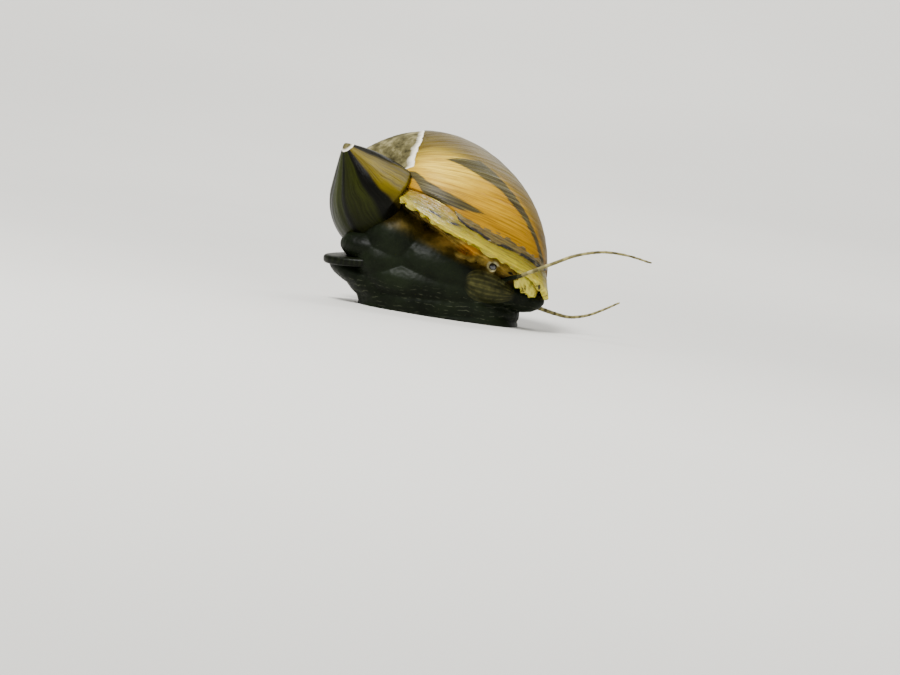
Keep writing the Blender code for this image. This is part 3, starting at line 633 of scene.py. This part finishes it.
class NeriteBodySettings(bpy.types.PropertyGroup):
    voxel: FloatProperty(name="Fineness", description="Surface grain of the skin, in mm",
                         default=0.108, min=0.07, max=0.4)
    wrinkle: FloatProperty(name="Wrinkles", description="Height of the skin's folds, in mm",
                           default=0.05, min=0, max=0.3)
    feeler_root: FloatProperty(name="Feeler Root", description="Radius at the root, in mm",
                               default=0.25, min=0.1, max=0.5)
    feeler_tip: FloatProperty(name="Feeler Tip", description="Radius at the tip, in mm",
                              default=0.12, min=0.05, max=0.3)
    eye_radius: FloatProperty(name="Eye Radius", description="Radius of an eye, in mm",
                              default=0.36, min=0.2, max=0.8)
    eye_detail: IntProperty(name="Eye Detail", description="Segments round an eye", default=32,
                            min=12, max=64)


class NeriteStageSettings(bpy.types.PropertyGroup):
    floor_colour: StringProperty(name="Floor", description="Floor colour as sRGB hex",
                                 default="#cfcdc6")
    camera_distance: FloatProperty(name="Camera Distance", description="Distance, in mm",
                                   default=300.0, min=100, max=1000)
    camera_rise: FloatProperty(name="Camera Rise", description="Angle above the floor, degrees",
                               default=4.0, min=0, max=60)
    camera_roll: FloatProperty(name="Camera Roll", description="Turn about the view, degrees",
                               default=8.7, min=-45, max=45)


class NERITE_OT_shell(bpy.types.Operator):
    """Build the shell's last whorl"""

    bl_idname = "nerite.shell"
    bl_label = "Build Last Whorl"

    def execute(self, context):
        settings = context.scene.nerite_shell
        shape = bmesh.new()
        sweep_ring(shape, lambda place: WHORL_START,
                   lambda place: line_at(LEDGE, place) + 0.5 * ripple(place, 8.0, 4.0)
                   + 0.45 * ripple(place, 24.0, 1.0), 120, 120, lambda growth, place: 0.0)
        face_out(shape)
        whorl = object_from("whorl", shape)
        fuse(whorl, settings.voxel, 2)
        points, facing = read_points(whorl.data)
        growth, around = growth_places(points)
        ribs = np.array([noise.noise(Vector((g * 0.45, a * 1.1, 0))) for g, a in
                         zip(growth, around)])
        degrees = np.degrees(around)
        worn_edge = np.interp(growth, *zip(*WORN_EDGE))
        worn = np.clip((worn_edge - degrees) / 30 + 0.5, 0, 1) * (degrees > -120)
        worn = worn * step_up(growth, -230, -170) * (1 - step_up(growth, -40, -26))
        # Painted highlight: a soft round patch on the whorl's upper left, where the key light
        # falls, stored as pale
        pale = np.exp(-((growth + 40) / 15) ** 2 - ((degrees + 25) / 25) ** 2)
        eaten = step_up(worn + 0.16 * fractal(points, 0.9), 0.42, 0.6)
        move_points(whorl.data, points + facing * (settings.rib_height * ribs
                                                   - 0.09 * eaten)[:, None])
        flame = np.min([np.abs(growth - line_at(middle, around)) - line_at(half, around)
                        for middle, half in FLAMES], axis=0)
        beyond = 0.8 * step_up(line_at(FLAMES[0][0], around) - growth, 0, 9)
        store(whorl.data, growth=growth, around=degrees, off_flame=flame, worn=worn,
              pale=0.9 * pale, beyond=beyond * step_up(degrees, -40, -5))
        finish_piece(whorl, horn_shell(), "shell_horn", "shell_body_whorl")
        return {"FINISHED"}


class NERITE_OT_spire(bpy.types.Operator):
    """Build the older, worn shell round the apex"""

    bl_idname = "nerite.spire"
    bl_label = "Build Spire"

    def execute(self, context):
        settings = context.scene.nerite_shell
        shape = bmesh.new()
        place = shell_matrix(CONE_SWELL)
        for step in range(71):
            for k in range(72):
                point = place @ ring_point(CONE_END - step * 10, math.tau * k / 72)
                along, aside = max(0.0, point.x - APEX.x), point.y - APEX.y
                ridge = (APEX.z - RIDGE_FALL * along - RIDGE_BEND * along ** 2
                         - RIDGE_ROUND * aside ** 2)
                shape.verts.new(Vector((point.x, point.y, min(point.z, ridge))) * MM)
        for point in SUTURE:
            shape.verts.new(Vector(point) * MM)
        hull = bmesh.ops.convex_hull(shape, input=shape.verts)
        inside, _ = points_and_edges(hull["geom_interior"])
        bmesh.ops.delete(shape, geom=inside, context="VERTS")
        face_out(shape)
        spire = object_from("spire", shape)
        fuse(spire, settings.voxel * 0.8, 5)
        points, facing = read_points(spire.data)
        local = in_shell(points)
        heading = np.arctan2(local[:, 1], local[:, 0])
        far = np.linalg.norm(local, axis=1)
        ribs = np.array([noise.noise(Vector((math.cos(h) * 6, math.sin(h) * 6, f * 0.15)))
                         for h, f in zip(heading, far)])
        move_points(spire.data, points + facing * (0.05 * ribs * np.clip(far / 3, 0, 1))[:, None])
        store(spire.data, heading_x=np.cos(heading), heading_y=np.sin(heading), far=far,
              worn=np.clip((1.7 - far) / 1.5, 0, 1))
        finish_piece(spire, horn_spire(), "shell_dark", "shell_spire", "shell_apex")
        return {"FINISHED"}


class NERITE_OT_lip(bpy.types.Operator):
    """Build the fresh shell at the lip"""

    bl_idname = "nerite.lip"
    bl_label = "Build Lip"

    def execute(self, context):
        settings = context.scene.nerite_shell

        def edge(place):
            return (line_at(LIP_EDGE, place) + 0.35 * ripple(place, 9.0, 2.0)
                    + 0.35 * ripple(place, 26.0, 7.0))

        def level(growth, place):
            out = max(0.0, (growth + 15.0) / 15.0)
            old = growth < line_at(OLD_LAYER, place) + 0.6 * ripple(place, 20.0, 3.0)
            return (-0.3 + (0.3 + settings.flare) * out ** 1.5 + settings.layer * old
                    + 0.07 * ripple(place, 14.0, growth * 0.08))

        shape = bmesh.new()
        sweep_ring(shape, lambda place: line_at(LEDGE, place) - 3.0, edge, 44, 320, level, False)
        place = shell_matrix().inverted()
        spare = [face for face in shape.faces
                 if (place @ (face.calc_center_median() / MM)).xy.length < LIP_CLEAR]
        outer = len(shape.faces)
        sweep_ring(shape, lambda place: -3.0, lambda place: line_at(LIP_FLAKE, place)
                   + 1.0 * ripple(place, 16.0, 5.0) + 0.4 * ripple(place, 50.0, 9.0), 24, 320,
                   lambda growth, place: -0.75 + 0.06 * ripple(place, 30.0, growth * 0.3), False)
        flake = list(shape.faces)[outer:]
        _, around = growth_places(np.array([face.calc_center_median() for face in flake]) / MM)
        low, high = FLAKE_PLACE
        spare += [face for face, at in zip(flake, np.degrees(around)) if not low < at < high]
        bmesh.ops.delete(shape, geom=spare, context="FACES")
        middle = shell_matrix() @ Vector((RING_RADIUS, 0, RING_DEPTH)) * MM
        bmesh.ops.recalc_face_normals(shape, faces=shape.faces)
        bmesh.ops.reverse_faces(shape, faces=[
            face for face in shape.faces
            if (face.calc_center_median() - middle).dot(face.normal) < 0])
        lip = object_from("lip", shape)
        thick = lip.modifiers.new("wall", "SOLIDIFY")
        thick.thickness = settings.lip_wall * MM
        thick.offset = -1
        rounded = lip.modifiers.new("edge", "BEVEL")
        rounded.width = 0.12 * MM
        rounded.segments = 2
        rounded.limit_method = "ANGLE"
        apply_modifiers(lip)
        growth, around = growth_places(read_points(lip.data)[0])
        store(lip.data, growth=growth, around=np.degrees(around),
              past_ledge=growth - line_at(LEDGE, around),
              past_layer=growth - line_at(OLD_LAYER, around))
        finish_piece(lip, lip_shell(), "shell_growth", "shell_outer_lip")
        enamel = inner_enamel()
        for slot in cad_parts["shell_deck"].material_slots:
            slot.material = enamel
        return {"FINISHED"}


def add_ellipsoid(shape, centre, half, turn=(0, 0, 0)):
    made = bmesh.ops.create_uvsphere(shape, u_segments=48, v_segments=32, radius=MM)["verts"]
    bmesh.ops.scale(shape, vec=half, verts=made)
    turned = Euler([math.radians(a) for a in turn]).to_matrix()
    bmesh.ops.rotate(shape, cent=(0, 0, 0), matrix=turned, verts=made)
    bmesh.ops.translate(shape, vec=Vector(centre) * MM, verts=made)


def add_sole(shape):
    """The creeping sole: a long slab with a thin soft rim."""
    rim = bmesh.ops.create_circle(shape, cap_ends=True, radius=1, segments=96)["verts"]
    for vert in rim:
        along, across = vert.co.x, vert.co.y
        wide = 1.0 + 0.1 * along
        wave = 1.0 + 0.012 * math.sin(7 * math.atan2(across, along))
        vert.co.x = math.copysign(abs(along) ** 0.9, along) * 7.75 * MM * wave
        vert.co.y = math.copysign(abs(across) ** 0.85, across) * 5.2 * MM * wide * wave
    base = list({face for vert in rim for face in vert.link_faces})
    top, _ = points_and_edges(bmesh.ops.extrude_face_region(shape, geom=base)["geom"])
    bmesh.ops.translate(shape, vec=(0, 0, 0.75 * MM), verts=top)
    bmesh.ops.scale(shape, vec=(0.95, 0.92, 1), verts=top)


def soft_path(points, count):
    """Even points along a soft curve through the given ones, and their distances along it."""
    points = [Vector(point) for point in points]
    ends = [points[0] * 2 - points[1]] + points + [points[-1] * 2 - points[-2]]
    fine = []
    for a, b, c, d in zip(ends, ends[1:], ends[2:], ends[3:]):
        for k in range(12):
            t = k / 12
            fine.append(0.5 * (2 * b + (c - a) * t + (2 * a - 5 * b + 4 * c - d) * t * t
                               + (3 * b - a - 3 * c + d) * t ** 3))
    fine.append(points[-1])
    far = np.concatenate([[0.0], np.cumsum([(b - a).length for a, b in zip(fine, fine[1:])])])
    places = np.array([tuple(point) for point in fine])
    want = np.linspace(0, far[-1], count)
    return np.stack([np.interp(want, far, places[:, k]) for k in range(3)], axis=1), want


def add_cord(shape, path, radii):
    """A round cord through a path, grown ring by ring, with both ends closed."""
    ring = bmesh.ops.create_circle(shape, radius=1, segments=16)["verts"]
    edges = list({edge for vert in ring for edge in vert.link_edges})
    around = [math.tau * k / 16 for k in range(16)]
    bmesh.ops.contextual_create(shape, geom=edges)
    for step, (place, radius) in enumerate(zip(path, radii)):
        if step:
            made = bmesh.ops.extrude_edge_only(shape, edges=edges)["geom"]
            ring, edges = points_and_edges(made)
        ahead = path[min(step + 1, len(path) - 1)] - path[max(step - 1, 0)]
        turn = Vector(ahead).to_track_quat("Z", "Y")
        for vert, angle in zip(ring, around):
            side = turn @ Vector((math.cos(angle), math.sin(angle), 0))
            vert.co = (Vector(place) + side * radius) * MM
    bmesh.ops.contextual_create(shape, geom=edges)


def eye_centre(root, end, radius):
    away = (Vector(end) - Vector(root)).normalized()
    return Vector(end) + away * (radius * 0.7)


def near_feelers(points, paths):
    """How far along a feeler each point is, and its share of pale skin; zero off the feelers."""
    feeler, pale = np.zeros(len(points)), np.zeros(len(points))
    for (path, far), start in zip(paths, FEELER_PALE_FROM):
        apart = np.linalg.norm(points[:, None, :] - path[None, ::3, :], axis=2)
        along, close = far[::3][apart.argmin(axis=1)], apart.min(axis=1) < FEELER_REACH
        feeler = np.where(close, along, feeler)
        pale = np.where(close, step_up(along, start, start + 1.5), pale)
    return feeler, pale


def cheek_marks(points):
    """How far each point is from the cheek's middle line, and how lit the cheek is there."""
    x, y, z = points.T
    near = np.where(y < NEAR_SIDE, 1.0, 0.0)
    across = (x - CHEEK_X) / CHEEK_HALF_LENGTH
    height = np.sqrt(np.clip(1 - across ** 2, 0.0004, 1)) * (1 - CHEEK_TAPER * across)
    up = (z - CHEEK_Z + CHEEK_FALL * (x - CHEEK_X)) / (CHEEK_HALF_HEIGHT * height)
    cheek = np.where((np.abs(across) < 1) & (near > 0), np.abs(up), 9.0)
    glow = (1 - step_up(np.abs(across), 0.75, 1.0)) * (0.45 + 0.55 * step_up(up, -0.8, 0.6))
    return cheek, np.clip(glow, 0, 1) * near * 0.85


def eye_rings(points, radius):
    """One in the pale ring round each eye, and zero away from it."""
    ring = np.zeros(len(points))
    for root, end in EYES:
        apart = np.linalg.norm(points - np.array(eye_centre(root, end, radius)), axis=1)
        ring = np.maximum(ring, 1 - step_up(apart, *EYE_RING))
    return ring


class NERITE_OT_skin(bpy.types.Operator):
    """Build the one skin over foot, body, mantle, head and feelers"""

    bl_idname = "nerite.skin"
    bl_label = "Build Skin"

    def execute(self, context):
        settings = context.scene.nerite_body
        shape = bmesh.new()
        for _, centre, half, turn in MASSES:
            add_ellipsoid(shape, centre, half, turn)
        add_sole(shape)
        sweep_ring(shape, lambda place: -12.0, lambda place: 2.5, 12, 96,
                   lambda growth, place: -1.2)
        paths = []
        for points in FEELERS:
            path, far = soft_path(points, 90)
            radii = [settings.feeler_root + (settings.feeler_tip - settings.feeler_root)
                     * (k / 89) ** 0.8 for k in range(90)]
            add_cord(shape, path, radii)
            paths.append((path, far))
        for root, end in EYES:
            path, _ = soft_path([root, Vector(root).lerp(Vector(end), 0.5), end], 12)
            add_cord(shape, path, [0.62 - 0.014 * k for k in range(12)])
        face_out(shape)
        skin = object_from("skin", shape)
        fuse(skin, settings.voxel, 4)
        mesh = skin.data
        points, facing = read_points(mesh)
        low = np.clip(points[:, 2], 0, None)
        feeler, feeler_pale = near_feelers(points, paths)
        body = np.clip(1 - feeler, 0, 1)
        folds = settings.wrinkle * fractal(points, 0.8)
        points = points + facing * (folds * body * np.clip(low - 0.2, 0, 1))[:, None]
        points[:, 2] = np.clip(points[:, 2], 0, None)
        move_points(mesh, points)
        x, y, z = points.T
        cheek, glow = cheek_marks(points)
        lift = z - (MANTLE_EDGE - MANTLE_FALL * x)
        warm = np.hypot((x - 2.1) / 1.3, (z - 6.85) / 0.6)
        store(mesh, cheek=cheek, cheek_glow=glow, feeler=feeler, feeler_pale=feeler_pale,
              foot=low, eye_ring=eye_rings(points, settings.eye_radius),
              mantle=step_up(lift, 0.0, 1.7) * body * (0.2 + 0.8 * step_up(x, -4.0, 0.0)),
              warm=np.clip(1.15 - warm, 0, 0.85) * (y < NEAR_SIDE))
        finish_piece(skin, wet_flesh(), "flesh_black", "foot_sole", "foot_front", "foot_middle",
                     "foot_tail", "body_column", "mantle", "head", "snout", "eye_stalk_right",
                     "eye_stalk_left", *[f"tentacle_{name}_{part}" for name in ("right", "left")
                                         for part in ("root", "middle", "tip")])
        return {"FINISHED"}


class NERITE_OT_lid(bpy.types.Operator):
    """Build the operculum that rides on the back of the foot"""

    bl_idname = "nerite.lid"
    bl_label = "Build Operculum"

    def execute(self, context):
        shape = bmesh.new()
        rim = bmesh.ops.create_circle(shape, cap_ends=True, radius=1, segments=80)["verts"]
        for vert in rim:
            flat = 0.72 if vert.co.y > 0 else 1.0
            vert.co = Vector((vert.co.x * 4.6, vert.co.y * 3.3 * flat, 0)) * MM
        raised = bmesh.ops.extrude_face_region(shape, geom=shape.faces[:])["geom"]
        top, _ = points_and_edges(raised)
        bmesh.ops.translate(shape, vec=(0, 0, 0.8 * MM), verts=top)
        rims = [edge for edge in shape.edges if edge.calc_face_angle(0) > 1.0]
        bmesh.ops.bevel(shape, geom=rims, offset=0.3 * MM, segments=4, affect="EDGES",
                        profile=0.5, material=-1)
        turn = Euler((math.radians(4), math.radians(-7), math.radians(8))).to_matrix().to_4x4()
        place = Matrix.Translation(Vector((-6.9, -0.6, 3.9)) * MM) @ turn
        bmesh.ops.transform(shape, matrix=place, verts=shape.verts)
        face_out(shape)
        finish_piece(object_from("lid", shape), operculum_enamel(), "lid_horn", "operculum")
        return {"FINISHED"}


class NERITE_OT_eyes(bpy.types.Operator):
    """Build the eyes on their stalks"""

    bl_idname = "nerite.eyes"
    bl_label = "Build Eyes"

    def execute(self, context):
        settings = context.scene.nerite_body
        lens = eye_lens()
        for side, (root, end) in zip(("right", "left"), EYES):
            shape = bmesh.new()
            made = bmesh.ops.create_uvsphere(shape, u_segments=settings.eye_detail,
                                             v_segments=settings.eye_detail // 2,
                                             radius=settings.eye_radius * MM)["verts"]
            centre = eye_centre(root, end, settings.eye_radius)
            bmesh.ops.translate(shape, vec=centre * MM, verts=made)
            finish_piece(object_from(f"eye_{side}_lens", shape), lens, "eye_black", f"eye_{side}")
        return {"FINISHED"}


class NERITE_OT_stage(bpy.types.Operator):
    """Set the floor, the soft light and the camera"""

    bl_idname = "nerite.stage"
    bl_label = "Set Stage"

    def execute(self, context):
        settings = context.scene.nerite_stage
        shape = bmesh.new()
        edge = [shape.verts.new(Vector((-FLOOR_WIDTH / 2, y, z)) * MM) for y, z in FLOOR_PROFILE]
        line = [shape.edges.new(pair) for pair in zip(edge, edge[1:])]
        moved, _ = points_and_edges(bmesh.ops.extrude_edge_only(shape, edges=line)["geom"])
        bmesh.ops.translate(shape, vec=(FLOOR_WIDTH * MM, 0, 0), verts=moved)
        bmesh.ops.recalc_face_normals(shape, faces=shape.faces)
        floor = object_from("studio_floor", shape)
        floor.data.shade_smooth()
        floor.data.materials.append(studio_paper(settings.floor_colour))

        world = context.scene.world or bpy.data.worlds.new("studio")
        context.scene.world = world
        world.use_nodes = True
        world.node_tree.nodes["Background"].inputs[0].default_value = linear("#dfe2e6")
        world.node_tree.nodes["Background"].inputs[1].default_value = 0.42
        for name, place, target, power, size in LIGHTS:
            lamp = bpy.data.lights.new(name, "AREA")
            lamp.energy = power
            lamp.size = size * MM
            light = bpy.data.objects.new(name, lamp)
            light.location = Vector(place) * MM
            aim = Vector(target) * MM - light.location
            light.rotation_euler = aim.to_track_quat("-Z", "Y").to_euler()
            context.scene.collection.objects.link(light)

        rise, far = math.radians(settings.camera_rise), settings.camera_distance
        aim = Vector(VIEW_AIM)
        back = Vector((0, -math.cos(rise), math.sin(rise)))
        lens = bpy.data.cameras.new("camera")
        lens.sensor_width = SENSOR_WIDTH
        lens.lens = SENSOR_WIDTH * far / VIEW_WIDTH
        lens.clip_start, lens.clip_end = 0.01, 10.0
        camera = bpy.data.objects.new("camera", lens)
        look = (-back).to_track_quat("-Z", "Y").to_matrix().to_4x4()
        roll = Matrix.Rotation(math.radians(settings.camera_roll), 4, "Z")
        camera.matrix_world = Matrix.Translation((aim + back * far) * MM) @ look @ roll
        context.scene.collection.objects.link(camera)
        context.scene.camera = camera
        return {"FINISHED"}


class NERITE_PT_panel(bpy.types.Panel):
    """The snail's pieces, each with its own button"""

    bl_idname = "NERITE_PT_panel"
    bl_label = "Nerite Snail"
    bl_space_type = "VIEW_3D"
    bl_region_type = "UI"
    bl_category = "Nerite Snail"

    def draw(self, context):
        layout = self.layout
        for group, _ in GROUPS:
            settings = getattr(context.scene, group)
            box = layout.box()
            for name in settings.bl_rna.properties.keys():
                if name not in ("rna_type", "name"):
                    box.prop(settings, name)
        for operator in OPERATORS:
            layout.operator(operator.bl_idname)


OPERATORS = (NERITE_OT_shell, NERITE_OT_spire, NERITE_OT_lip, NERITE_OT_skin, NERITE_OT_lid,
             NERITE_OT_eyes, NERITE_OT_stage)
GROUPS = (("nerite_shell", NeriteShellSettings), ("nerite_body", NeriteBodySettings),
          ("nerite_stage", NeriteStageSettings))


def register():
    for name, group in GROUPS:
        bpy.utils.register_class(group)
        setattr(bpy.types.Scene, name, PointerProperty(type=group))
    for made in (*OPERATORS, NERITE_PT_panel):
        bpy.utils.register_class(made)


def unregister():
    for made in reversed((*OPERATORS, NERITE_PT_panel)):
        bpy.utils.unregister_class(made)
    for name, group in reversed(GROUPS):
        delattr(bpy.types.Scene, name)
        bpy.utils.unregister_class(group)


def main():
    register()
    bpy.ops.nerite.shell()
    bpy.ops.nerite.spire()
    bpy.ops.nerite.lip()
    bpy.ops.nerite.skin()
    bpy.ops.nerite.lid()
    bpy.ops.nerite.eyes()
    bpy.ops.nerite.stage()
    bpy.context.view_layer.update()


if __name__ == "__main__":
    main()
